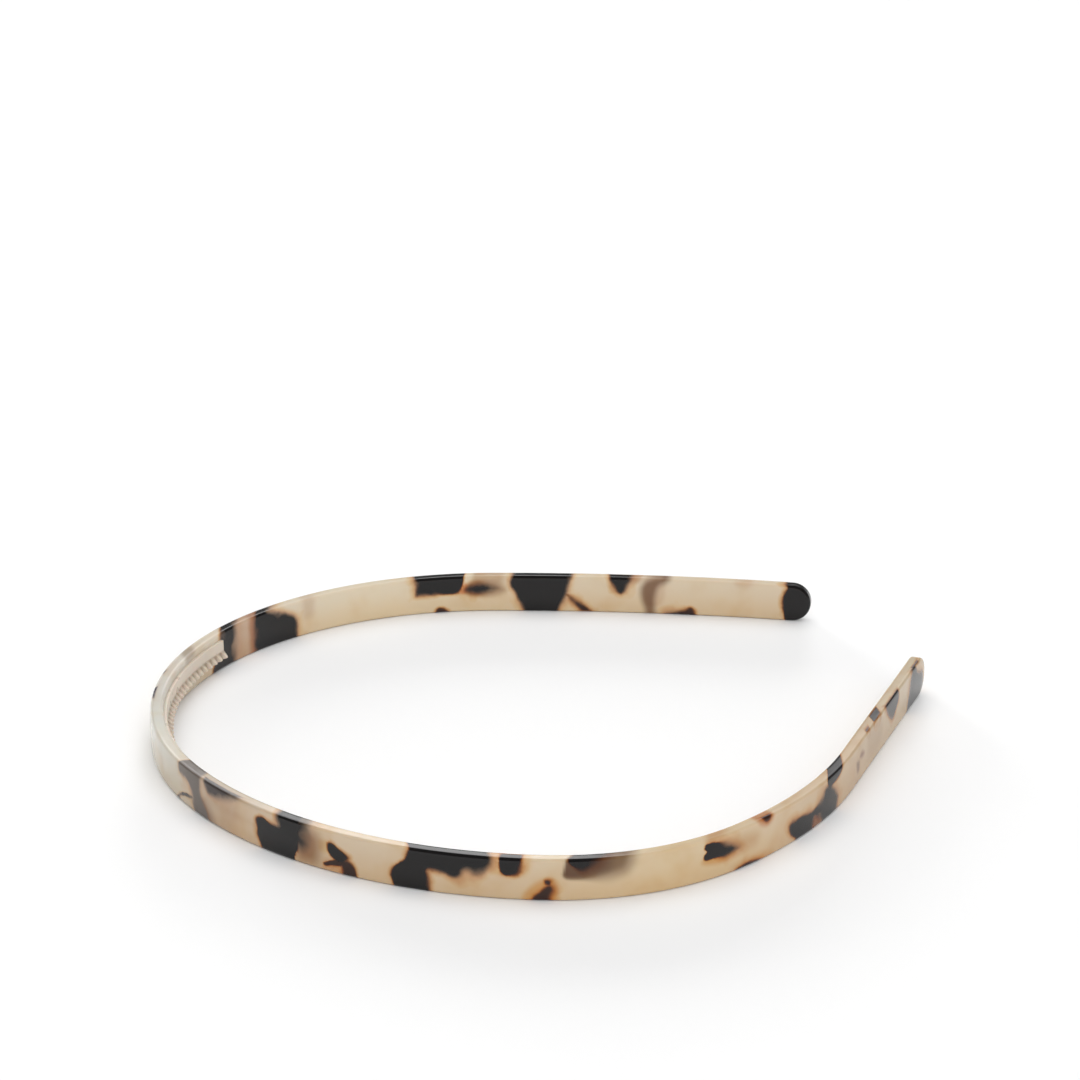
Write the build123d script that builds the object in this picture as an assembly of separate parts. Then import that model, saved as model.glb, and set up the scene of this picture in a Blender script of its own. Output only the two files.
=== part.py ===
from build123d import *
from math import degrees
import os

os.makedirs("parts", exist_ok=True)

# A narrow headband standing on its lower edge, with a toothed comb strip bonded inside
# the crown. Millimetres and degrees. +Z is up, across the band's width. +X runs from the
# crown of the bend to the two free ends, and the two arms lie towards +Y and -Y.
# The origin is the middle of the object's footprint, on the plane that it rests on.

# Band: a strip of sheet acetate, milled, polished and bent hot over a former
BAND_WIDTH = 7.0            # height of the standing strip
BAND_THICKNESS = 2.4        # at mid-width, where both broad faces bulge most
FACE_BULGE = 0.15           # rise of each broad face from its edges to its middle
EDGE_RADIUS = 0.5           # polished round along all four long edges

# Centreline as tangent arcs from the crown outwards: (radius, swept angle). The bend
# isn't quite symmetric. The +Y side is one even curve that eases into a nearly straight
# end. The -Y side is flatter at the crown, tighter at the haunch, and ends straight.
PLUS_Y_ARCS = [(56.5, 121.0), (300.0, 10.7)]
PLUS_Y_STRAIGHT = 0.0
MINUS_Y_ARCS = [(72.0, 55.0), (42.0, 46.0), (76.0, 27.0)]
MINUS_Y_STRAIGHT = 42.0

# Comb strip: a thin rail along the band's inner face with one row of wedge teeth
TOOTH_PITCH = 1.8
TEETH_EACH_SIDE = 33        # on each side of the middle tooth
TOOTH_ROOT = 1.0            # thickness of a tooth, along the band, where it leaves the rail
TOOTH_CREST = 0.5           # and at its tip
RAIL_THICKNESS = 0.5
RAIL_BOTTOM = 2.2           # heights above the resting plane
RAIL_TOP = 5.8
TOOTH_BOTTOM = 2.4
TOOTH_TOP = 3.9
TIP_HEIGHT = 2.9
TIP_LAND = 0.3              # height of the small flat that blunts each tip
TOOTH_REACH = 1.5           # how far the tips stand in from the band's inner face
BOND_DEPTH = 0.4            # the strip is drawn this far into the band, then cut to fit it

MID_HEIGHT = BAND_WIDTH / 2
INNER_FACE = BAND_THICKNESS / 2             # at the crown point, on the side that faces +X
COMB_HALF_LENGTH = TEETH_EACH_SIDE * TOOTH_PITCH + TOOTH_ROOT / 2
CROWN_RADIUS = {1: PLUS_Y_ARCS[0][0], -1: MINUS_Y_ARCS[0][0]}   # by side, +Y and -Y


def band_section():
    """Cross-section, centred: X through the thickness, Y across the width."""
    edge = BAND_THICKNESS / 2 - FACE_BULGE
    outline = [
        ThreePointArc((edge, -MID_HEIGHT), (edge + FACE_BULGE, 0), (edge, MID_HEIGHT)),
        Line((edge, MID_HEIGHT), (-edge, MID_HEIGHT)),
        ThreePointArc((-edge, MID_HEIGHT), (-edge - FACE_BULGE, 0), (-edge, -MID_HEIGHT)),
        Line((-edge, -MID_HEIGHT), (edge, -MID_HEIGHT)),
    ]
    section = make_face(outline)
    return fillet(section.vertices(), EDGE_RADIUS)


def centreline(arcs, straight, side):
    """Path of one arm, from the crown point to the start of its rounded end."""
    point, heading = Vector(0, 0, MID_HEIGHT), Vector(0, side, 0)
    edges = []
    for radius, angle in arcs:
        edges.append(JernArc(point, heading, radius, -side * angle))
        point, heading = edges[-1] @ 1, edges[-1] % 1
    if straight:
        edges.append(Line(point, point + heading * straight))
    return Wire([edge.edge() for edge in edges])


def band_arm(section, path, side):
    """One arm: the section carried along its path and closed by a fully rounded end."""
    crown_plane = Plane(origin=path @ 0, x_dir=(side, 0, 0), z_dir=(0, -side, 0))
    strip = sweep(crown_plane * section, path=path)

    tip, heading = path @ 1, path % 1
    across = heading.cross(Vector(0, 0, 1))
    tip_plane = Plane(origin=tip, x_dir=across, z_dir=-heading)
    upper_half = section & Pos(0, MID_HEIGHT) * Rectangle(2 * BAND_THICKNESS, BAND_WIDTH)
    rounded_end = revolve(tip_plane * upper_half, Axis(tip, across), revolution_arc=-180)
    return strip + rounded_end


def along_crown(side, distance):
    """Placement that carries a shape from the crown point along a side's first arc."""
    centre = Pos(CROWN_RADIUS[side], 0, 0)
    turn = -side * degrees(distance / CROWN_RADIUS[side])
    return centre * Rot(0, 0, turn) * centre.inverse()


def comb_rail(side):
    """Half of the rail, a ribbon along the band's inner face."""
    back = INNER_FACE - BOND_DEPTH
    front = INNER_FACE + RAIL_THICKNESS
    middle = Pos((back + front) / 2, (RAIL_BOTTOM + RAIL_TOP) / 2)
    profile = Plane.XZ * middle * Rectangle(front - back, RAIL_TOP - RAIL_BOTTOM)
    turn = degrees(COMB_HALF_LENGTH / CROWN_RADIUS[side])
    return revolve(profile, Axis((CROWN_RADIUS[side], 0, 0), (0, 0, -side)), revolution_arc=turn)


def comb_tooth():
    """One tooth at the crown point: a wedge that points inwards and a little down."""
    root = INNER_FACE + RAIL_THICKNESS / 2
    rail_face = INNER_FACE + RAIL_THICKNESS
    tip = INNER_FACE + TOOTH_REACH
    side_view = Plane.XZ * make_face(Polyline(
        (root, TOOTH_BOTTOM), (root, TOOTH_TOP), (rail_face, TOOTH_TOP),
        (tip, TIP_HEIGHT + TIP_LAND / 2), (tip, TIP_HEIGHT - TIP_LAND / 2),
        (rail_face, TOOTH_BOTTOM), close=True))
    top_view = make_face(Polyline(
        (root, -TOOTH_ROOT / 2), (tip, -TOOTH_CREST / 2),
        (tip, TOOTH_CREST / 2), (root, TOOTH_ROOT / 2), close=True))
    return extrude(side_view, TOOTH_ROOT, both=True) & extrude(top_view, BAND_WIDTH)


def comb_strip(band):
    """Rail and teeth in one moulding, cut back to the band's bulged inner face."""
    tooth = comb_tooth()
    strip = comb_rail(1) + comb_rail(-1)
    teeth = [tooth]
    for side in (1, -1):
        for number in range(1, TEETH_EACH_SIDE + 1):
            teeth.append(along_crown(side, number * TOOTH_PITCH) * tooth)
    return strip + teeth - band


section = band_section()
plus_y_path = centreline(PLUS_Y_ARCS, PLUS_Y_STRAIGHT, 1)
minus_y_path = centreline(MINUS_Y_ARCS, MINUS_Y_STRAIGHT, -1)
band = band_arm(section, plus_y_path, 1) + band_arm(section, minus_y_path, -1)
comb = comb_strip(band)

footprint = band.bounding_box().center()
to_origin = Pos(-footprint.X, -footprint.Y, 0)
for node, solid in (("band", band), ("comb_strip", comb)):
    export_step(to_origin * solid, f"parts/{node}.step")

length_along = plus_y_path.length + minus_y_path.length + BAND_WIDTH
size = band.bounding_box().size
print(f"centreline {length_along:.1f} mm, footprint {size.X:.1f} x {size.Y:.1f} mm")
print(f"band volume {band.volume:.1f} mm3, section x path {section.area * (length_along - BAND_WIDTH):.1f}")
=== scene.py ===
import math

import bmesh
import bpy
import numpy as np
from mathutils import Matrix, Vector


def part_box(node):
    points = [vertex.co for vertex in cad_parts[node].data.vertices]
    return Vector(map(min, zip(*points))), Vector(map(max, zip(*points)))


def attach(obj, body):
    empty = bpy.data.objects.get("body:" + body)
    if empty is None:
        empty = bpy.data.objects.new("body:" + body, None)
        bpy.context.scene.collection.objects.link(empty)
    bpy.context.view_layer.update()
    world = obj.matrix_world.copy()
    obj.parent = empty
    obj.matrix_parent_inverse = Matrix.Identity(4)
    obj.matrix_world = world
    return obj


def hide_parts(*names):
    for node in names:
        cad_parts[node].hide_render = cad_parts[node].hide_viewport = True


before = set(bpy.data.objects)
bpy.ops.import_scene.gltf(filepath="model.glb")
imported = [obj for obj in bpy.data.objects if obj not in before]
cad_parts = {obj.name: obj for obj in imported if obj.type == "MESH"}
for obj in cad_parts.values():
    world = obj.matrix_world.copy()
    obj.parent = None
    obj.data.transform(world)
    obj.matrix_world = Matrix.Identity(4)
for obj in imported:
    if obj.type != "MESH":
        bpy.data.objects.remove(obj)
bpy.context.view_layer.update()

MM = 0.001

# ---------------------------------------------------------------- the band's sizes, in mm
WIDTH = 7.0                 # of the strip, which stands on its edge
THICKNESS = 2.4             # at mid-width
BULGE = 0.15                # rise of each broad face from its edges to its middle
EDGE_ROUND = 0.5
MIDDLE = WIDTH / 2
FACE = THICKNESS / 2        # offset of a broad face's middle from the centreline
# tangent arcs from the crown to each end: (radius, swept angle); the -Y arm ends straight
PLUS_Y_ARCS = [(56.5, 121.0), (300.0, 10.7)]
MINUS_Y_ARCS = [(72.0, 55.0), (42.0, 46.0), (76.0, 27.0)]
MINUS_Y_STRAIGHT = 42.0

# A place along the strip is its "run", in mm: 0 at the crown point, positive on the +Y arm.
# Its "offset" is outwards from the centreline, and its "height" is above the resting plane.
PLUS_Y_END = sum(radius * math.radians(angle) for radius, angle in PLUS_Y_ARCS)
MINUS_Y_BENT = sum(radius * math.radians(angle) for radius, angle in MINUS_Y_ARCS)
MINUS_Y_END = -MINUS_Y_BENT - MINUS_Y_STRAIGHT

band_low, band_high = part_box("band")
CROWN_X = band_low.x / MM + FACE
CROWN_Y = band_high.y / MM - PLUS_Y_ARCS[0][0] - FACE
PLAN_SCALE = 0.9993         # keeps these smooth curves inside the box of the faceted CAD mesh


def centreline(run):
    """Point in plan, in mm, and heading towards higher runs, at a run."""
    side = 1 if run >= 0 else -1
    x, y, heading = CROWN_X, CROWN_Y, side * math.pi / 2
    left = abs(run)
    for radius, angle in (PLUS_Y_ARCS if side > 0 else MINUS_Y_ARCS):
        length = min(left, radius * math.radians(angle))
        turned = heading - side * length / radius
        x += radius * side * (math.sin(heading) - math.sin(turned))
        y -= radius * side * (math.cos(heading) - math.cos(turned))
        heading = turned
        left -= length
    x += left * math.cos(heading)
    y += left * math.sin(heading)
    return x, y, heading if side > 0 else heading + math.pi


def place(run, offset, height):
    """A point of the object, in metres."""
    x, y, heading = centreline(run)
    x, y = x - offset * math.sin(heading), y + offset * math.cos(heading)
    return x * PLAN_SCALE * MM, y * PLAN_SCALE * MM, height * MM


# ---------------------------------------------------------------- tortoise pattern
# Patches of dark resin lie in the cream sheet. Each outline is given as (run, height) points
# on the face that it was laid out on: the outer face of the -Y arm and the inner face of the
# +Y arm. Heights above WIDTH or below 0 carry a patch over the edge. A patch lies between two
# depths below that face, and shifts along the run by "lean" for each mm down.
# A tint's fourth number is how strongly its edge turns amber and rust.
BLACK = (0.006, 0.005, 0.005, 1.0)
UMBER = (0.030, 0.011, 0.007, 1.0)
PLUM = (0.046, 0.034, 0.030, 0.5)
TAUPE = (0.125, 0.100, 0.083, 0.6)
VIOLET = (0.030, 0.022, 0.045, 0.2)

# half-widths of an edge, in mm, towards lower and towards higher runs
SHARP, CRISP, CLEAN = (0.22, 0.22), (0.35, 0.35), (0.6, 0.6)
SOFT, HAZY = (1.0, 1.0), (1.6, 1.6)
HAZY_LOW, SOFT_LOW = (2.1, 0.4), (1.0, 0.4)
OVER, UNDER = 9.5, -2.5                              # heights that run past an edge
THROUGH, TOP = (-9, 9), -9                           # depths that run past the faces
DEPTH_EDGE = 0.3                                     # half-width of a patch's top and bottom
FAR = 6.0                                            # depths are kept within this, in mm
# the part of an outline's side that is cut from each end of it, and how many times
CORNER_CUT, CORNER_CUTS = 0.2, 2
# the parts of an outline's length, at its low and its high end, that keep that end's width
LOW_PART, HIGH_PART = 0.3, 0.2
# an edge keeps this share of its amber, less this for each mm of its width, within these limits
AMBER, AMBER_LOSS, AMBER_LIMITS = 1.3, 0.6, (0.3, 1)

# (tint, edges, lean, depths, outline)
PATCHES = [
    # -Y arm, from its end towards the crown
    (BLACK, SOFT, 0.0, (TOP, 0.5), [
        (-182.9, 1.0), (-182.6, 3.2), (-181.9, 4.7), (-179.6, 5.3), (-178.2, 5.9), (-177.4, 7.4),
        (-175.6, 7.4), (-174.2, 6.2), (-173.1, 4.6), (-172.4, 2.6), (-172.1, 0.8),
        (-172.4, UNDER), (-182.6, UNDER)]),
    (UMBER, CLEAN, -1.0, (0.3, 0.7), [(-179.6, 6), (-179.4, OVER), (-175.6, OVER), (-175.6, 6)]),
    (BLACK, CLEAN, -1.2, (TOP, 0.52), [
        (-166.2, 5.6), (-165.6, OVER), (-157.6, OVER), (-157.6, 7.0), (-158.6, 5.6), (-159.8, 4.3),
        (-161.4, 3.3), (-162.8, 3.1), (-163.8, 3.8), (-165.4, 4.8)]),
    (BLACK, CRISP, -1.6, (0.35, 1.85), [
        (-154.8, 5.5), (-154.8, OVER), (-150.5, OVER), (-150.5, 5.5)]),
    (UMBER, CRISP, -1.6, (0.35, 0.9), [(-148.0, 6), (-148.0, OVER), (-146.0, OVER), (-146.0, 6)]),
    (BLACK, CRISP, -2.1, THROUGH, [
        (-132.6, OVER), (-132.4, 6.7), (-131.2, 5.9), (-129.2, 5.4), (-127.0, 5.2), (-126.0, 6.2),
        (-126.0, OVER)]),
    (BLACK, (1.0, 0.6), -0.5, THROUGH, [
        (-130.8, 2.4), (-130.4, 1.0), (-130.8, UNDER), (-124.9, UNDER), (-124.4, 0.5),
        (-122.9, 1.7), (-121.9, 2.4), (-121.6, 1.4), (-121.6, UNDER), (-117.6, UNDER),
        (-116.4, 0.4), (-114.9, 1.5), (-114.2, 2.7), (-114.3, 3.7), (-115.4, 4.1), (-118.5, 4.0),
        (-121, 3.5), (-123, 4.1), (-124.5, 4.9), (-125.4, 5.9), (-127.4, 6.1), (-128.4, 5.1),
        (-129.8, 3.9)]),
    (UMBER, CLEAN, -0.3, (TOP, 0.8), [
        (-110.2, 7.2), (-109.2, 6.2), (-108.5, 6.1), (-107.4, 7.2), (-107.6, OVER),
        (-110.2, OVER)]),
    (UMBER, CLEAN, 0.0, THROUGH, [
        (-107.8, 0.2), (-105.5, 0.8), (-103.4, 0.8), (-101.6, 0.3), (-101.6, UNDER),
        (-107.9, UNDER)]),
    (BLACK, (1.0, 0.22), 0.3, THROUGH, [
        (-102.7, 4.0), (-101.2, 5.0), (-99.8, 5.8), (-98.2, 6.2), (-96.9, 6.5), (-95.7, 6.4),
        (-95.4, 5.6), (-96.0, 5.1), (-95.3, 4.5), (-95.3, 3.7), (-96.5, 3.6), (-98.1, 3.6),
        (-99.3, 3.1), (-100.7, 3.4)]),
    (BLACK, (0.9, 0.4), -0.8, THROUGH, [
        (-78.8, OVER), (-78.4, 6.9), (-77.2, 5.6), (-75.5, 4.9), (-74.3, 5.8), (-73.2, 6.8),
        (-73.0, OVER)]),
    (UMBER, CLEAN, 0.0, THROUGH, [
        (-71.6, 2.0), (-71.0, 2.8), (-70.2, 2.6), (-69.2, 1.6), (-68.1, 0.6), (-67.6, UNDER),
        (-71.4, UNDER), (-70.9, 0.7)]),
    (UMBER, CRISP, 0.0, THROUGH, [(-71.0, 2.8), (-71.0, 3.7), (-70.0, 3.7), (-70.0, 2.8)]),
    (BLACK, (0.5, 0.3), 0.0, (TOP, 1.8), [
        (-66.6, 4.1), (-66.6, OVER), (-63.0, OVER), (-63.0, 4.1)]),
    (BLACK, SOFT_LOW, 0.5, THROUGH, [
        (-62.4, OVER), (-62.2, 5.9), (-61.2, 4.6), (-60.1, 3.7), (-59.1, 3.6), (-58.3, 4.3),
        (-57.7, 4.2), (-57.2, 3.3), (-56.5, 2.8), (-55.4, 3.0), (-54.6, 3.5), (-53.2, 3.7),
        (-51.8, 3.8), (-52.2, 2.9), (-52.5, UNDER), (-46.9, UNDER), (-46.2, 0.6), (-45.7, 1.8),
        (-45.9, 3.2), (-47.0, 4.2), (-48.1, 4.9), (-48.4, 6.0), (-48.9, 7.0), (-48.6, OVER)]),
    (BLACK, CRISP, 0.0, THROUGH, [
        (-38.9, 3.4), (-37.2, 4.3), (-35.4, 5.3), (-34.6, 5.0), (-34.6, 3.8), (-35.3, 2.8),
        (-36.6, 2.0), (-38.0, 2.3)]),
    (UMBER, CRISP, 0.0, THROUGH, [
        (-40.0, UNDER), (-39.9, 1.4), (-39.2, 2.5), (-38.2, 3.0), (-37.2, 2.2), (-37.3, 1.0),
        (-37.5, UNDER)]),
    (UMBER, SHARP, 0.0, THROUGH, [
        (-37.4, 2.4), (-35.6, 2.3), (-33.7, 1.3), (-34.2, 0.8), (-35.8, 1.3), (-37.4, 1.5)]),
    (BLACK, HAZY_LOW, 0.3, THROUGH, [
        (-31.5, OVER), (-24.2, OVER), (-24.3, 6.2), (-24.9, 5.4), (-23.3, 5.2), (-21.6, 5.8),
        (-20.3, 5.5), (-19.9, 4.7), (-20.3, 3.6), (-20.2, 2.4), (-21.0, 0.9), (-21.8, UNDER),
        (-27.0, UNDER), (-28.0, 2.0), (-30.2, 2.0), (-31.5, 3.4)]),
    (BLACK, CRISP, 0.3, THROUGH, [
        (-28.3, UNDER), (-28.4, 1.3), (-29.2, 2.2), (-29.5, OVER), (-25.4, OVER), (-25.4, UNDER)]),
    (PLUM, (1.3, 0.5), 0.3, (TOP, 1.0), [
        (-17.6, OVER), (-17.0, 7.4), (-14.8, 6.1), (-12, 5.2), (-9.8, 4.8), (-7.6, 4.9),
        (-6.8, 5.7), (-6.2, 6.8), (-5.2, 7.6), (-5.2, OVER)]),
    (TAUPE, (0.8, 0.5), 0.4, THROUGH, [
        (-5.6, OVER), (1.7, OVER), (1.4, 5.2), (-0.4, 5.0), (-1.5, 4.6), (-2.2, 3.7), (-2.6, 2.6),
        (-2.5, 1.4), (-3.2, 0), (-3.2, UNDER), (-7.4, UNDER), (-7.7, 1.2), (-6.4, 2.8),
        (-5.4, 4.2), (-5.4, 6)]),
    (PLUM, SHARP, 0.0, THROUGH, [
        (-3.0, 2.8), (-1.0, 2.5), (0.6, 2.15), (1.9, 1.5), (3.6, 0.2), (3.2, UNDER), (2.4, 0.5),
        (1.3, 1.15), (0, 1.6), (-2.8, 2.0)]),
    # +Y arm, from the crown towards its end
    (VIOLET, CLEAN, 0.0, (1.65, 9), [(28.6, 6.4), (28.6, OVER), (34.2, OVER), (34.2, 6.4)]),
    (VIOLET, CLEAN, 0.0, (1.75, 9), [(39.2, 6.5), (39.2, OVER), (41.6, OVER), (41.6, 6.5)]),
    (BLACK, (0.5, 2.1), 1.5, THROUGH, [
        (59.2, OVER), (59.6, 6), (59, 4), (57.5, 1.8), (56.7, 0.7), (57.4, UNDER),
        (64.7, UNDER), (64.7, OVER)]),
    (BLACK, (1.1, 0.9), 1.2, THROUGH, [
        (69.3, OVER), (69.1, UNDER), (79.8, UNDER), (80.2, 1.6), (80.2, 3.4), (79.4, 4.7),
        (78, 5.4), (76, 6.2), (74, 6.9), (73.1, 7.3), (73.4, OVER)]),
    (BLACK, (0.7, 0.3), 0.2, THROUGH, [
        (104.2, OVER), (104.3, 7), (104.7, 5.9), (104.7, 4.9), (104.6, 3.6), (106.0, 3.6),
        (112.8, 3.6), (113.5, 4.4), (113.9, 5.6), (114.3, OVER)]),
    (BLACK, (0.7, 1.8), 0.0, (TOP, 1.1), [
        (113.8, 4.3), (114.8, 5.3), (116.6, 5.7), (119.4, 5.5), (121.2, 4.7), (119.4, 3.7),
        (117.0, 3.4), (115.2, 3.6)]),
    (UMBER, CRISP, 0.0, (TOP, 1.4), [
        (108.0, UNDER), (108.6, 0.6), (109.2, 1.2), (110.0, 1.1), (111.2, 0.3), (111.8, UNDER)]),
    (BLACK, (0.8, 0.9), 0.1, THROUGH, [
        (123.5, OVER), (123.2, 7.4), (122.6, 6), (122.7, 4.9), (123.7, 3.8), (124.1, 2.4),
        (124.9, 1.0), (125.8, UNDER), (131.2, UNDER), (132.1, 1.0), (133.1, 2.6), (133.6, 4.2),
        (134.0, 6), (134.5, 7.2), (134.8, OVER)]),
    (UMBER, CLEAN, 0.0, (TOP, 1.2), [
        (132.9, 4.0), (134.6, 2.9), (136.5, 1.6), (138.4, 0.1), (136.2, 0.0), (135.3, 1.0),
        (134.2, 2.0)]),
    (BLACK, (0.6, 0.9), 0.0, (TOP, 1.9), [
        (140.8, OVER), (141.2, 6.6), (141.8, 5.4), (142.6, 4.1), (143.4, 3.6), (144.3, 4.2),
        (145.0, 5.6), (145.8, 7), (146.2, OVER)]),
    (UMBER, (0.9, 0.4), 0.0, (TOP, 1.6), [
        (150.8, UNDER), (151.6, 0.4), (154, 0.8), (155.6, 1.2), (156.6, 1.8), (157.4, 1.0),
        (158.0, UNDER)]),
    (BLACK, CRISP, 0.0, THROUGH, [
        (172.0, OVER), (172.3, 7.6), (173.9, 7.1), (174.6, 6.5), (173.9, 5.6), (173.5, 4.2),
        (173.5, 3), (173.8, 1.6), (174.1, 0.4), (174.1, UNDER), (183, UNDER), (183, OVER)]),
]

# Soft veils, where dark resin lies deep in the sheet, and one of painted shade on the top rim by
# the crown:
# (what the veil lets through, edges, lean, outline)
VEILS = [
    # -Y arm, from its end towards the crown
    ((0.84, 0.79, 0.74), HAZY, 0.0, [(-156, 7), (-146, 7), (-146.5, 2), (-155.5, 2)]),
    ((0.42, 0.27, 0.26), CLEAN, 0.0, [(-144.9, 4.2), (-143, 5.4), (-141.3, 4.7), (-143, 4.0)]),
    ((0.42, 0.31, 0.26), CLEAN, 0.0, [(-141.6, 4.2), (-139.4, 4.6), (-140.2, 2.2), (-141.6, 2.2)]),
    ((0.42, 0.25, 0.18), CLEAN, 0.0, [
        (-125.6, UNDER), (-123.4, 2.6), (-121.2, 2.6), (-121, UNDER)]),
    ((0.80, 0.55, 0.44), CLEAN, 0.0, [(-110.6, 6.4), (-108.6, 5.4), (-106.6, 6.4), (-106.8, OVER),
                                      (-110.8, OVER)]),
    ((0.92, 0.74, 0.52), SOFT, 0.0, [(-110.5, 0.6), (-107, 1.4), (-101.4, 1.4), (-101.4, UNDER),
                                     (-110.5, UNDER)]),
    ((0.84, 0.72, 0.60), HAZY, 0.0, [(-107, 5.4), (-100, 6.5), (-100, 3.4), (-106, 3)]),
    ((0.82, 0.66, 0.53), (1.4, 0.8), -0.6, [(-100, OVER), (-99.4, 6), (-95.6, 6), (-96, OVER)]),
    ((0.88, 0.66, 0.38), CLEAN, 0.0, [(-102, 3.6), (-99, 4), (-95, 4), (-95, 3.0), (-99, 2.3)]),
    ((0.31, 0.235, 0.185), (1.7, 0.3), -0.5, [
        (-83.6, OVER), (-83.4, 6), (-82.4, 4.5), (-80.5, 3.9), (-77, 3.6), (-72.5, 3.7),
        (-73.1, 6.5), (-73.2, OVER)]),
    ((0.62, 0.52, 0.52), (1.2, 0.3), -0.5, [
        (-80.6, OVER), (-80.0, 5.4), (-78.6, 4.5), (-75, 4.1), (-72.8, 4.2), (-73.3, 6.5),
        (-73.4, OVER)]),
    ((0.90, 0.66, 0.38), CLEAN, 0.0, [
        (-72.8, UNDER), (-72.0, 1.4), (-71.5, 4.1), (-69.8, 3.8), (-68.2, 2.8), (-66.6, 0.9),
        (-66.2, UNDER)]),
    ((0.96, 0.84, 0.68), CLEAN, 0.0, [(-68, OVER), (-68, 4), (-61, 4), (-61, OVER)]),
    ((0.92, 0.74, 0.60), CLEAN, 0.0, [(-38.5, UNDER), (-38, 2.4), (-33.6, 2.2), (-33.4, UNDER)]),
    ((0.50, 0.38, 0.30), HAZY, 0.0, [(-33.6, 5.8), (-28.6, 6.8), (-28.6, 0.6), (-33.0, 0.6)]),
    ((0.96, 0.86, 0.66), CLEAN, 0.0, [(-35, 5.4), (-33, 5.2), (-33, 3.2), (-35, 3.2)]),
    # painted shade: this veil is no resin; it darkens the top rim from run -24 to -1 to stand for
    # shade there
    ((0.60, 0.64, 0.68), SOFT, 0.0, [(-24, 6.9), (-24, OVER), (-1, OVER), (-1, 6.9)]),
    ((0.92, 0.88, 0.84), SOFT, 0.0, [(-21, 4.3), (-6, 4.6), (-6, 3.3), (-21, 3.5)]),
    ((0.88, 0.82, 0.78), HAZY, 0.0, [(-17, 7), (-4, 7), (-4, UNDER), (-13, UNDER)]),
    ((0.55, 0.48, 0.46), (1.6, 0.6), 0.0, [(-9.6, UNDER), (-9, 1.6), (-6.5, 3.6), (-4.8, 3.4),
                                           (-4.8, UNDER)]),
    ((0.96, 0.85, 0.78), SOFT, 0.0, [(-3, 4.8), (-0.5, 4.6), (2, 3), (-2, 2.4)]),
    # +Y arm, from the crown towards its end
    ((0.62, 0.57, 0.52), SOFT, 1.1, [(46.4, 6.2), (50.6, 6.2), (50.8, OVER), (46.8, OVER)]),
    ((0.76, 0.63, 0.57), CLEAN, 0.4, [(61, OVER), (61, UNDER), (71.4, UNDER), (71.4, OVER)]),
    ((0.80, 0.66, 0.62), (0.8, 0.8), 0.4, [
        (68.2, OVER), (68.2, UNDER), (71.4, UNDER), (71.4, OVER)]),
    ((0.86, 0.80, 0.78), (0.9, 0.9), 0.0, [(81.5, OVER), (84, OVER), (84, 3.3), (81.5, 3.3)]),
    ((0.90, 0.58, 0.40), CRISP, 0.0, [(112.9, 3.6), (113.4, 5.5), (114.8, 5.7), (114.6, 3.6)]),
    ((0.60, 0.50, 0.42), (0.5, 1.0), 0.0, [
        (114.2, 3.4), (117, 2.9), (120, 3.2), (122.4, 4.3), (120, 5.8), (116, 6.4), (114.4, 5.2)]),
    ((0.76, 0.67, 0.61), (0.6, 1.3), 0.2, [
        (115.6, 5.6), (121.6, 4.8), (121.6, OVER), (115.8, OVER)]),
    ((0.80, 0.70, 0.66), CLEAN, 0.0, [(145, OVER), (144.4, 6), (147.5, 6), (147.6, OVER)]),
    ((0.88, 0.80, 0.77), CLEAN, 0.0, [(147.6, OVER), (148, 1.4), (151.6, 1.8), (151.9, OVER)]),
    ((0.36, 0.27, 0.22), (0.8, 0.9), 0.0, [
        (151.9, OVER), (151.2, 7.3), (149.6, 7.1), (148.1, 6.5), (147.2, 5.3), (147.1, 4),
        (147.4, 2.4), (148.0, 1), (148.4, UNDER), (150.0, UNDER), (149.9, 1.2), (149.8, 2.6),
        (150.0, 4), (150.3, 5.1), (150.9, 5.8), (151.8, 6.2), (152.8, 7)]),
    ((0.92, 0.86, 0.84), (0.6, 0.6), 0.0, [(164.5, OVER), (164.5, 6), (168, 6), (168, OVER)]),
]


def softened(outline):
    """An outline with its corners cut, so it curves as a poured patch does."""
    points = np.array(outline, float)
    for _ in range(CORNER_CUTS):
        following = np.roll(points, -1, axis=0)
        after = (1 - CORNER_CUT) * points + CORNER_CUT * following
        before = CORNER_CUT * points + (1 - CORNER_CUT) * following
        points = np.stack([after, before], axis=1).reshape(-1, 2)
    return points


def depth_inside(run, height, outline):
    """Distance from each point to a closed outline, in mm, positive inside it."""
    nearest = np.full(run.shape, np.inf)
    inside = np.zeros(run.shape, bool)
    corners = softened(outline)
    for (x0, y0), (x1, y1) in zip(corners, np.roll(corners, -1, axis=0)):
        dx, dy = x1 - x0, y1 - y0
        along = np.clip(((run - x0) * dx + (height - y0) * dy) / (dx * dx + dy * dy), 0, 1)
        nearest = np.minimum(nearest, np.hypot(run - x0 - along * dx, height - y0 - along * dy))
        if dy:
            crosses = (y0 > height) != (y1 > height)
            inside ^= crosses & (run < x0 + (height - y0) * dx / dy)
    return np.where(inside, nearest, -nearest)


def eased(low, high, value):
    """0 at low, 1 at high, eased in between."""
    part = np.clip((value - low) / (high - low), 0, 1)
    return part * part * (3 - 2 * part)


def edge_width(run, outline, edges):
    """An outline's edge at each run: its first width at low runs, its second at high ones."""
    low = min(point[0] for point in outline)
    high = max(point[0] for point in outline)
    span = high - low
    change = eased(low + LOW_PART * span, high - HIGH_PART * span, run)
    return edges[0] + (edges[1] - edges[0]) * change


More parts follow.
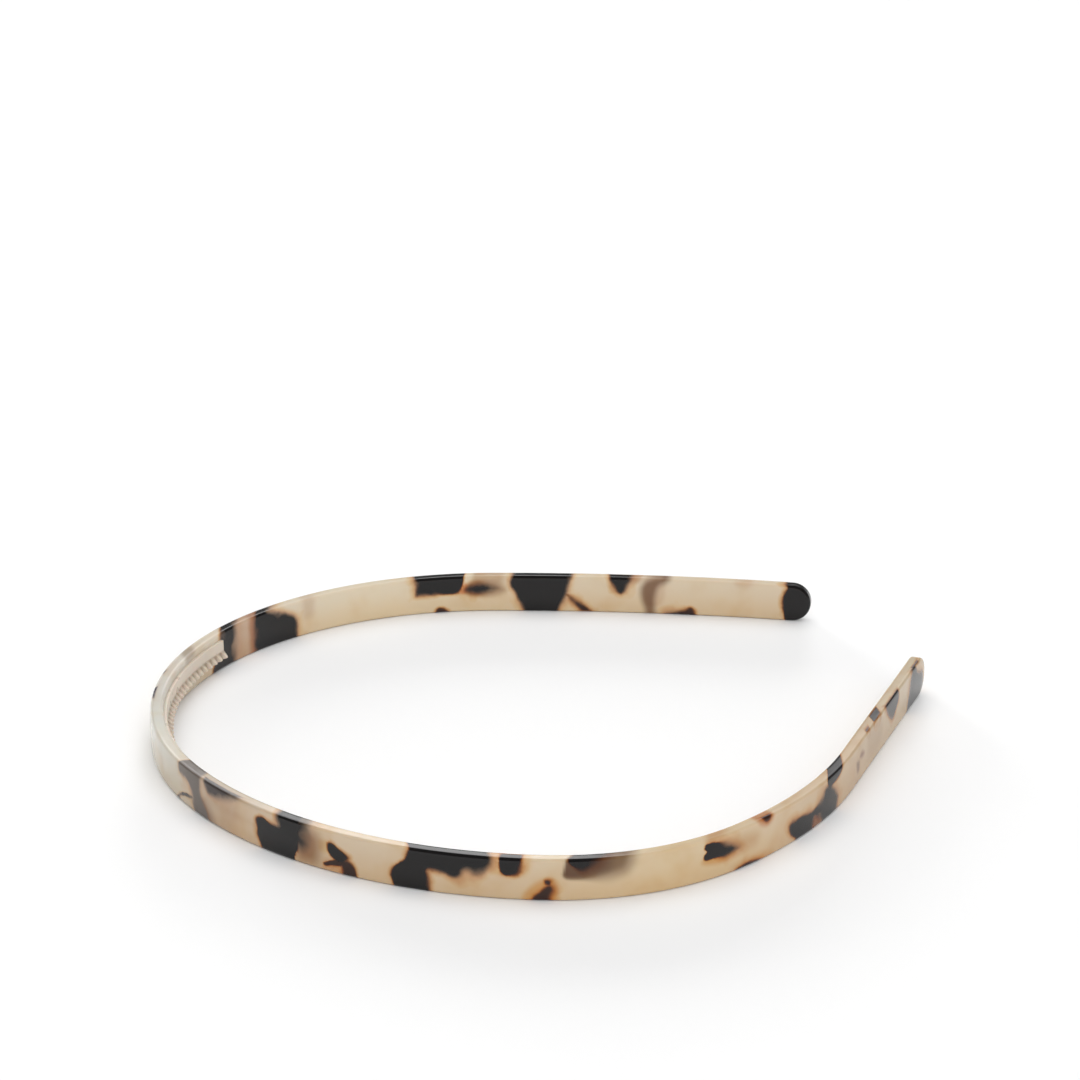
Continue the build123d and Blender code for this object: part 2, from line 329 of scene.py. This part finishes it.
def pattern(run, offset, height):
    """Per point: depth inside the nearest patch and its edge, its tint, and the veils' colour."""
    sunk = np.where(run > 0, offset + FACE, FACE - offset)
    ink, depth = np.full(run.shape, -FAR), np.full(run.shape, -FAR)
    width = np.ones(run.shape)
    tint = np.tile(np.array(BLACK), (len(run), 1))
    for colour, edges, lean, (shallow, deep), outline in PATCHES:
        shifted = run - lean * sunk
        edge = edge_width(shifted, outline, edges)
        between = np.minimum(sunk - shallow, deep - sunk) / DEPTH_EDGE
        inside = np.minimum(depth_inside(shifted, height, outline), between * edge)
        level = inside / edge
        nearer = level > ink
        ink[nearer], depth[nearer], width[nearer] = level[nearer], inside[nearer], edge[nearer]
        tint[nearer] = colour
    tint[:, 3] *= np.clip(AMBER - AMBER_LOSS * width, *AMBER_LIMITS)
    veil = np.ones((len(run), 3))
    for colour, edges, lean, outline in VEILS:
        shifted = run - lean * sunk
        edge = edge_width(shifted, outline, edges)
        strength = eased(-edge, edge, depth_inside(shifted, height, outline))
        veil *= 1 - strength[:, None] * (1 - np.array(colour))
    return np.clip(depth, -FAR, FAR), width, tint, veil


# ---------------------------------------------------------------- band mesh
RING_STEP = 0.35            # between rings of points along the strip, in mm
FACE_STEPS, ROUND_STEPS, FLAT_STEPS, CAP_STEPS = 11, 5, 4, 36


def upper_outline():
    """(offset, height over the middle) from mid outer face, over the top, to mid inner face."""
    face_radius = (MIDDLE ** 2 + BULGE ** 2) / (2 * BULGE)
    face_centre = FACE - face_radius
    round_rise = MIDDLE - EDGE_ROUND
    round_centre = face_centre + math.sqrt((face_radius - EDGE_ROUND) ** 2 - round_rise ** 2)
    tangent = math.asin(round_rise / (face_radius - EDGE_ROUND))
    quarter = []
    for i in range(FACE_STEPS):
        angle = tangent * i / FACE_STEPS
        quarter.append((face_centre + face_radius * math.cos(angle), face_radius * math.sin(angle)))
    for i in range(ROUND_STEPS):
        angle = tangent + (math.pi / 2 - tangent) * i / ROUND_STEPS
        quarter.append((round_centre + EDGE_ROUND * math.cos(angle),
                        round_rise + EDGE_ROUND * math.sin(angle)))
    for i in range(FLAT_STEPS):
        quarter.append((round_centre * (1 - i / FLAT_STEPS), MIDDLE))
    mirrored = [(-offset, rise) for offset, rise in reversed(quarter)]
    return quarter + [(0.0, MIDDLE)] + mirrored


def band_points():
    """All points of the strip as (run, offset, height), and the faces between them."""
    half = upper_outline()
    count = len(half)
    ring = half + [(offset, -rise) for offset, rise in half[-2:0:-1]]
    size = len(ring)
    rings = int((PLUS_Y_END - MINUS_Y_END) / RING_STEP) + 2
    points = [(run, offset, MIDDLE + rise) for run in np.linspace(MINUS_Y_END, PLUS_Y_END, rings)
              for offset, rise in ring]
    faces = [(r * size + i, r * size + (i + 1) % size, (r + 1) * size + (i + 1) % size,
              (r + 1) * size + i) for r in range(rings - 1) for i in range(size)]
    for end, side, first in ((MINUS_Y_END, -1, 0), (PLUS_Y_END, 1, (rings - 1) * size)):
        # the rounded end: the upper outline swung from upright to hanging about mid-height
        spokes = [[first + i for i in range(count)]]
        for step in range(1, CAP_STEPS):
            angle = math.pi * step / CAP_STEPS
            spoke = [first]
            for offset, rise in half[1:-1]:
                spoke.append(len(points))
                points.append((end + side * rise * math.sin(angle), offset,
                               MIDDLE + rise * math.cos(angle)))
            spokes.append(spoke + [first + count - 1])
        spokes.append([first + (size - i) % size for i in range(count)])
        for one, other in zip(spokes, spokes[1:]):
            for i in range(count - 1):
                corners = [one[i], one[i + 1], other[i + 1], other[i]]
                corners = sorted(set(corners), key=corners.index)
                faces.append(tuple(corners if side > 0 else reversed(corners)))
    return np.array(points), faces


def new_object(name, mesh):
    piece = bpy.data.objects.new(name, mesh)
    bpy.context.scene.collection.objects.link(piece)
    return piece


def add_attribute(mesh, name, kind, values):
    field = {"FLOAT": "value", "FLOAT_VECTOR": "vector", "FLOAT_COLOR": "color"}[kind]
    layer = mesh.attributes.new(name, kind, "POINT")
    layer.data.foreach_set(field, np.ascontiguousarray(values, np.float32).ravel())


def make_band():
    points, faces = band_points()
    mesh = bpy.data.meshes.new("band_acetate")
    mesh.from_pydata([place(*point) for point in points], [], faces)
    run, offset, height = points.T
    depth, width, tint, veil = pattern(run, offset, height)
    add_attribute(mesh, "strip", "FLOAT_VECTOR", points)
    add_attribute(mesh, "depth", "FLOAT", depth)
    add_attribute(mesh, "edge", "FLOAT", width)
    add_attribute(mesh, "tint", "FLOAT_COLOR", tint)
    add_attribute(mesh, "veil", "FLOAT_VECTOR", veil)
    mesh.shade_smooth()
    return new_object("band_acetate", mesh)


# ---------------------------------------------------------------- comb strip mesh
PITCH = 1.8
TEETH_EACH_SIDE = 33
TOOTH_ROOT, TOOTH_CREST = 1.0, 0.5          # thickness of a tooth along the run
RAIL_LOW, RAIL_HIGH = 2.2, 5.8
RAIL_BACK, RAIL_FRONT = -(FACE - 0.1), -(FACE + 0.5)
TOOTH_LOW, TOOTH_HIGH = 2.4, 3.9
TIP_OFFSET, TIP_LOW, TIP_HIGH = -(FACE + 1.5), 2.75, 3.05
TIP_CORNERS = [(-1, TIP_LOW), (1, TIP_LOW), (1, TIP_HIGH), (-1, TIP_HIGH)]
COMB_BEVEL = 0.07
SHARP_ANGLE = math.radians(20)              # edges that turn more than this are bevelled


def inward_reach(point):
    """How far a point near the crown stands inwards of the centreline, in mm."""
    x, y = point.x / MM - CROWN_X, point.y / MM - CROWN_Y
    radius = (PLUS_Y_ARCS if y > 0 else MINUS_Y_ARCS)[0][0]
    return radius - math.hypot(x - radius, y)


def make_comb():
    """One moulding: a rail along the inner face, and a wedge tooth on every other span of it."""
    bm = bmesh.new()
    section = [(RAIL_BACK, RAIL_LOW), (RAIL_FRONT, RAIL_LOW), (RAIL_FRONT, TOOTH_LOW),
               (RAIL_FRONT, TOOTH_HIGH), (RAIL_FRONT, RAIL_HIGH), (RAIL_BACK, RAIL_HIGH)]
    tooth_edge = 2                          # the side of the section that teeth grow from
    loops = []
    for tooth in range(-TEETH_EACH_SIDE, TEETH_EACH_SIDE + 1):
        for half_root in (-TOOTH_ROOT / 2, TOOTH_ROOT / 2):
            loops.append([bm.verts.new(place(tooth * PITCH + half_root, offset, height))
                          for offset, height in section])
    bm.faces.new(loops[0])
    bm.faces.new(reversed(loops[-1]))
    for number, (one, other) in enumerate(zip(loops, loops[1:])):
        for i in range(len(section)):
            j = (i + 1) % len(section)
            root = [one[i], other[i], other[j], one[j]]
            # even spans between loops are teeth, and odd ones are the gaps between them
            if i != tooth_edge or number % 2:
                bm.faces.new(root)
                continue
            middle = (number // 2 - TEETH_EACH_SIDE) * PITCH
            tip = [bm.verts.new(place(middle + along * TOOTH_CREST / 2, TIP_OFFSET, height))
                   for along, height in TIP_CORNERS]
            bm.faces.new(tip)
            for k in range(4):
                bm.faces.new([root[k], root[(k + 1) % 4], tip[(k + 1) % 4], tip[k]])
    bmesh.ops.recalc_face_normals(bm, faces=bm.faces)
    sharp = [edge for edge in bm.edges if edge.calc_face_angle(0) > SHARP_ANGLE]
    bmesh.ops.bevel(bm, geom=sharp, offset=COMB_BEVEL * MM, segments=2, profile=0.6,
                    affect="EDGES", clamp_overlap=True)
    mesh = bpy.data.meshes.new("comb_moulding")
    bm.to_mesh(mesh)
    bm.free()
    add_attribute(mesh, "reach", "FLOAT", [inward_reach(vertex.co) for vertex in mesh.vertices])
    mesh.shade_smooth()
    comb = new_object("comb_moulding", mesh)
    comb.modifiers.new("flats", "WEIGHTED_NORMAL")
    return comb


# ---------------------------------------------------------------- materials
class Nodes:
    """Short calls for building one material's node tree."""

    def __init__(self, name):
        self.material = bpy.data.materials.new(name)
        self.material.use_nodes = True
        self.tree = self.material.node_tree
        self.shader = self.tree.nodes["Principled BSDF"]

    def new(self, kind, inputs=None, **settings):
        node = self.tree.nodes.new("ShaderNode" + kind)
        for key, value in settings.items():
            setattr(node, key, value)
        for key, value in (inputs or {}).items():
            self.put(value, node.inputs[key])
        return node

    def put(self, value, socket):
        if isinstance(value, bpy.types.NodeSocket):
            self.tree.links.new(value, socket)
        else:
            socket.default_value = value

    def attribute(self, name, output="Vector"):
        return self.new("Attribute", attribute_name=name).outputs[output]

    def noise(self, vector, scale, detail=2.0, roughness=0.5):
        node = self.new("TexNoise", {"Vector": vector, "Scale": scale, "Detail": detail,
                                     "Roughness": roughness})
        return node.outputs["Fac"]

    def math(self, operation, a, b=0.0):
        return self.new("Math", {0: a, 1: b}, operation=operation).outputs[0]

    def blend(self, low, high, value):
        """0 at low, 1 at high, eased in between."""
        node = self.new("MapRange", {"Value": value, "From Min": low, "From Max": high},
                        interpolation_type="SMOOTHSTEP")
        return node.outputs["Result"]

    def mix(self, factor, a, b, mode="MIX"):
        node = self.new("Mix", data_type="RGBA", blend_type=mode)
        for index, value in ((0, factor), (6, a), (7, b)):
            self.put(value if isinstance(value, (float, bpy.types.NodeSocket)) else (*value, 1.0),
                     node.inputs[index])
        return node.outputs[2]

    def ramp(self, factor, stops):
        node = self.new("ValToRGB", {"Fac": factor})
        elements = node.color_ramp.elements
        while len(elements) < len(stops):
            elements.new(0.5)
        for element, (position, colour) in zip(elements, stops):
            element.position = position
            element.color = (*colour, 1.0)
        return node.outputs["Color"]


# the cream along the run, as (run, colour): paler and cooler about the crown, darker towards the -Y
# end
CREAMS = [
    (-182, (0.48, 0.39, 0.27)), (-160, (0.48, 0.375, 0.25)), (-137, (0.475, 0.345, 0.215)),
    (-112, (0.565, 0.44, 0.30)), (-90, (0.60, 0.475, 0.305)), (-65, (0.60, 0.485, 0.345)),
    (-42, (0.61, 0.49, 0.35)), (-16, (0.61, 0.485, 0.355)), (8, (0.58, 0.54, 0.455)),
    (18, (0.60, 0.585, 0.515)), (30, (0.565, 0.54, 0.485)), (45, (0.60, 0.545, 0.475)),
    (58, (0.625, 0.545, 0.435)), (95, (0.655, 0.565, 0.42)), (140, (0.645, 0.54, 0.395)),
    (178, (0.64, 0.53, 0.39)),
]
FOOT_PAINTED_SHADE = (0.955, 0.88, 0.775)    # painted shade and reflection: what the lower edge keeps of the cream beside the top, which stays lighter as if catching the sky
# what an edge lets through as it darkens, by ink level from -1.6 to 0.6
EDGE_LEVELS = (-1.6, 0.6)
EDGE_STOPS = [(0.0, (1.0, 1.0, 1.0)), (0.35, (0.95, 0.84, 0.70)), (0.58, (0.82, 0.57, 0.36)),
              (0.78, (0.52, 0.26, 0.13)), (1.0, (0.18, 0.07, 0.035))]
# the acetate's noise scales, per mm
CLOUD_SCALE, RAGGED_SCALE, STEEPNESS_SCALE = 0.16, 0.9, 0.33
POLISH_SCALE, WAVE_SCALE = 0.5, 0.25
CLOUD_KEEPS = (0.94, 0.87, 0.78)    # what the clouds keep of the cream
PAINTED_SHADE_FROM, PAINTED_SHADE_TO = 6.4, 0.8       # heights between which the painted shade of the lower edge comes in
RAGGED_BY = 0.42                    # mm between the furthest places an edge may wander to
STEEPNESS = (0.6, 1.45)             # range of an edge's steepness, beside how it was drawn
POLISH = (0.06, 0.14)               # roughness
WAVE_HEIGHT = 0.00006               # of the surface's long waves, in metres


def acetate():
    nodes = Nodes("tortoise_acetate")
    strip = nodes.attribute("strip")
    axes = nodes.new("SeparateXYZ", {0: strip})
    run, height = axes.outputs[0], axes.outputs[2]
    first, last = CREAMS[0][0], CREAMS[-1][0]
    along = nodes.new("MapRange", {"Value": run, "From Min": first, "From Max": last}).outputs[0]
    cream = nodes.ramp(along, [((at - first) / (last - first), colour) for at, colour in CREAMS])
    clouds = nodes.blend(0.45, 0.8, nodes.noise(strip, CLOUD_SCALE, 2.0))
    cream = nodes.mix(clouds, cream, CLOUD_KEEPS, "MULTIPLY")
    # painted shade: the faces turn darker and warmer towards the lower edge
    cream = nodes.mix(nodes.blend(PAINTED_SHADE_FROM, PAINTED_SHADE_TO, height), cream, FOOT_PAINTED_SHADE, "MULTIPLY")
    veiled = nodes.mix(1.0, cream, nodes.attribute("veil"), "MULTIPLY")
    ragged = nodes.math("SUBTRACT", nodes.noise(strip, RAGGED_SCALE, 4.0, 0.6), 0.5)
    ragged = nodes.math("MULTIPLY", ragged, RAGGED_BY)
    steepness = nodes.new("MapRange", {
        "Value": nodes.noise(strip, STEEPNESS_SCALE, 1.0), "From Min": 0.35, "From Max": 0.65,
        "To Min": STEEPNESS[0], "To Max": STEEPNESS[1]}).outputs[0]
    ink = nodes.math("ADD", nodes.attribute("depth", "Fac"), ragged)
    ink = nodes.math("DIVIDE", ink, nodes.attribute("edge", "Fac"))
    ink = nodes.math("MULTIPLY", ink, steepness)
    level = nodes.new("MapRange", {"Value": ink, "From Min": EDGE_LEVELS[0],
                                   "From Max": EDGE_LEVELS[1]}).outputs[0]
    tint = nodes.new("Attribute", attribute_name="tint")
    amber = nodes.mix(1.0, veiled, nodes.ramp(level, EDGE_STOPS), "MULTIPLY")
    fringed = nodes.mix(tint.outputs["Alpha"], veiled, amber)
    colour = nodes.mix(nodes.blend(-0.3, 1.0, ink), fringed, tint.outputs["Color"])
    nodes.put(colour, nodes.shader.inputs["Base Color"])
    polish = nodes.new("MapRange", {"Value": nodes.noise(strip, POLISH_SCALE, 3.0),
                                    "To Min": POLISH[0], "To Max": POLISH[1]})
    nodes.put(polish.outputs[0], nodes.shader.inputs["Roughness"])
    bump = nodes.new("Bump", {"Strength": 0.25, "Distance": WAVE_HEIGHT,
                              "Height": nodes.noise(strip, WAVE_SCALE, 1.0)})
    nodes.put(bump.outputs[0], nodes.shader.inputs["Normal"])
    for socket, value in (("IOR", 1.47), ("Specular IOR Level", 0.4), ("Subsurface Weight", 0.15),
                          ("Subsurface Scale", 0.0012)):
        nodes.shader.inputs[socket].default_value = value
    nodes.shader.inputs["Subsurface Radius"].default_value = (1.0, 0.55, 0.28)
    return nodes.material


# painted shade: what the rail keeps of its colour between the teeth and below them, darkened where
# shade falls in the recesses
RECESS_PAINTED_SHADE = (0.64, 0.58, 0.54)
# the comb's noise scales, per metre
FLOW_SCALE, SATIN_SCALE, GRAIN_SCALE = 90.0, 300.0, 500.0
FLOW_STOPS = [(0.3, (0.57, 0.49, 0.40)), (0.7, (0.64, 0.56, 0.46))]
SATIN = (0.22, 0.36)                # roughness
GRAIN_HEIGHT = 0.00003              # metres


def comb_plastic():
    nodes = Nodes("pale_comb_plastic")
    where = nodes.new("TexCoord").outputs["Object"]
    colour = nodes.ramp(nodes.noise(where, FLOW_SCALE, 2.0), FLOW_STOPS)
    height = nodes.new("SeparateXYZ", {0: where}).outputs[2]
    # painted shade: the rail's face and the teeth's roots below the tooth tops are darkened,
    # standing for shade between the teeth
    near_rail = nodes.blend(-TIP_OFFSET - 0.3, -RAIL_FRONT, nodes.attribute("reach", "Fac"))
    below_tops = nodes.blend((TOOTH_HIGH + 0.2) * MM, (TOOTH_HIGH - 0.3) * MM, height)
    recess_shade = nodes.math("MULTIPLY", near_rail, below_tops)
    colour = nodes.mix(recess_shade, colour, RECESS_PAINTED_SHADE, "MULTIPLY")
    nodes.put(colour, nodes.shader.inputs["Base Color"])
    satin = nodes.new("MapRange", {"Value": nodes.noise(where, SATIN_SCALE),
                                   "To Min": SATIN[0], "To Max": SATIN[1]})
    nodes.put(satin.outputs[0], nodes.shader.inputs["Roughness"])
    bump = nodes.new("Bump", {"Strength": 0.2, "Distance": GRAIN_HEIGHT,
                              "Height": nodes.noise(where, GRAIN_SCALE)})
    nodes.put(bump.outputs[0], nodes.shader.inputs["Normal"])
    for socket, value in (("IOR", 1.5), ("Subsurface Weight", 0.2), ("Subsurface Scale", 0.0008)):
        nodes.shader.inputs[socket].default_value = value
    return nodes.material


# ---------------------------------------------------------------- camera, floor and light
VIEW_AZIMUTH, VIEW_ELEVATION = math.radians(31.284), math.radians(20.631)
VIEW_DISTANCE = 0.68304
VIEW_TARGET = Vector((0.046, 0.080, 0.0))
FOCAL_LENGTH, SENSOR_WIDTH = 115.79, 36.0   # mm
FLOOR_HALF = 3.0            # metres from the floor's middle to its sides
FLOOR_GAP = 0.00002         # metres between the floor and the band's lower edge
FLOOR_WHITE = (0.90, 0.90, 0.90, 1.0)


def direction(azimuth, elevation):
    """Unit vector in the studio; azimuth 0 is +Y and 90 degrees is +X."""
    flat = math.cos(elevation)
    return Vector((flat * math.sin(azimuth), flat * math.cos(azimuth), math.sin(elevation)))


def make_camera():
    data = bpy.data.cameras.new("camera")
    data.sensor_width = SENSOR_WIDTH
    data.lens = FOCAL_LENGTH
    data.clip_start, data.clip_end = 0.01, 20.0
    camera = new_object("camera", data)
    camera.location = VIEW_TARGET - direction(VIEW_AZIMUTH, -VIEW_ELEVATION) * VIEW_DISTANCE
    camera.rotation_euler = (math.pi / 2 - VIEW_ELEVATION, 0.0, -VIEW_AZIMUTH)
    bpy.context.scene.camera = camera


def make_floor():
    bm = bmesh.new()
    bmesh.ops.create_grid(bm, x_segments=8, y_segments=8, size=FLOOR_HALF)
    mesh = bpy.data.meshes.new("floor")
    bm.to_mesh(mesh)
    bm.free()
    floor = new_object("floor", mesh)
    floor.location.z = -FLOOR_GAP
    nodes = Nodes("studio_floor")
    nodes.shader.inputs["Base Color"].default_value = FLOOR_WHITE
    nodes.shader.inputs["Roughness"].default_value = 0.9
    nodes.shader.inputs["Specular IOR Level"].default_value = 0.0
    mesh.materials.append(nodes.material)
    return floor


# The studio: a white sweep round the horizon under a dark ceiling. The softboxes behind are
# there only for the polish to reflect, and the lamps only for diffuse light.
CEILING, SWEEP = 0.16, 0.75
# sines of the elevations below which the sweep is full, and above which it has faded out
SWEEP_FULL, SWEEP_TOP = 0.02, 0.30
# (name, azimuth that it shines from, elevation, strength, apparent width), angles in degrees
LAMPS = [
    ("top_lamp", 20, 76, 1.45, 70),
    ("low_back_lamp", 35, 8, 2.3, 19),
    ("low_left_lamp", 3, 7, 2.1, 20),
    ("front_lamp", 198, 32, 1.60, 75),
    ("side_lamp", 112, 26, 0.50, 80),
]
SOFTBOX_DISTANCE = 4.0
# (name, azimuth, elevation, size in metres, power in watts)
SOFTBOXES = [
    ("softbox", 5, 40, (3.76, 2.04), 70.0),
    ("right_softbox", 50, 31.5, (1.70, 1.15), 10.0),
]


def make_world():
    world = bpy.data.worlds.new("studio")
    bpy.context.scene.world = world
    world.use_nodes = True
    tree = world.node_tree
    towards = tree.nodes.new("ShaderNodeTexCoord")
    axes = tree.nodes.new("ShaderNodeSeparateXYZ")
    sweep = tree.nodes.new("ShaderNodeMapRange")
    sweep.interpolation_type = "SMOOTHSTEP"
    for name, value in (("From Min", SWEEP_TOP), ("From Max", SWEEP_FULL),
                        ("To Min", CEILING), ("To Max", SWEEP)):
        sweep.inputs[name].default_value = value
    tree.links.new(towards.outputs["Generated"], axes.inputs[0])
    tree.links.new(axes.outputs["Z"], sweep.inputs["Value"])
    tree.links.new(sweep.outputs["Result"], tree.nodes["Background"].inputs["Strength"])
    tree.nodes["Background"].inputs["Color"].default_value = (1.0, 1.0, 1.0, 1.0)


def make_lights():
    for name, azimuth, elevation, strength, width in LAMPS:
        data = bpy.data.lights.new(name, "SUN")
        data.energy = strength
        data.angle = math.radians(width)
        lamp = new_object(name, data)
        source = direction(math.radians(azimuth), math.radians(elevation))
        lamp.rotation_euler = source.to_track_quat("Z", "Y").to_euler()
        lamp.visible_glossy = False
    for name, azimuth, elevation, size, power in SOFTBOXES:
        data = bpy.data.lights.new(name, "AREA")
        data.shape = "RECTANGLE"
        data.size, data.size_y = size
        data.energy = power
        softbox = new_object(name, data)
        source = direction(math.radians(azimuth), math.radians(elevation))
        softbox.location = source * SOFTBOX_DISTANCE
        softbox.rotation_euler = source.to_track_quat("Z", "Y").to_euler()
        softbox.visible_diffuse = False


make_camera()
make_world()
make_lights()
bpy.context.scene.view_settings.view_transform = "Standard"
make_floor()

band = make_band()
band.data.materials.append(acetate())
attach(band, "root")
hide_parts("band")

comb = make_comb()
comb.data.materials.append(comb_plastic())
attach(comb, "root")
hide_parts("comb_strip")
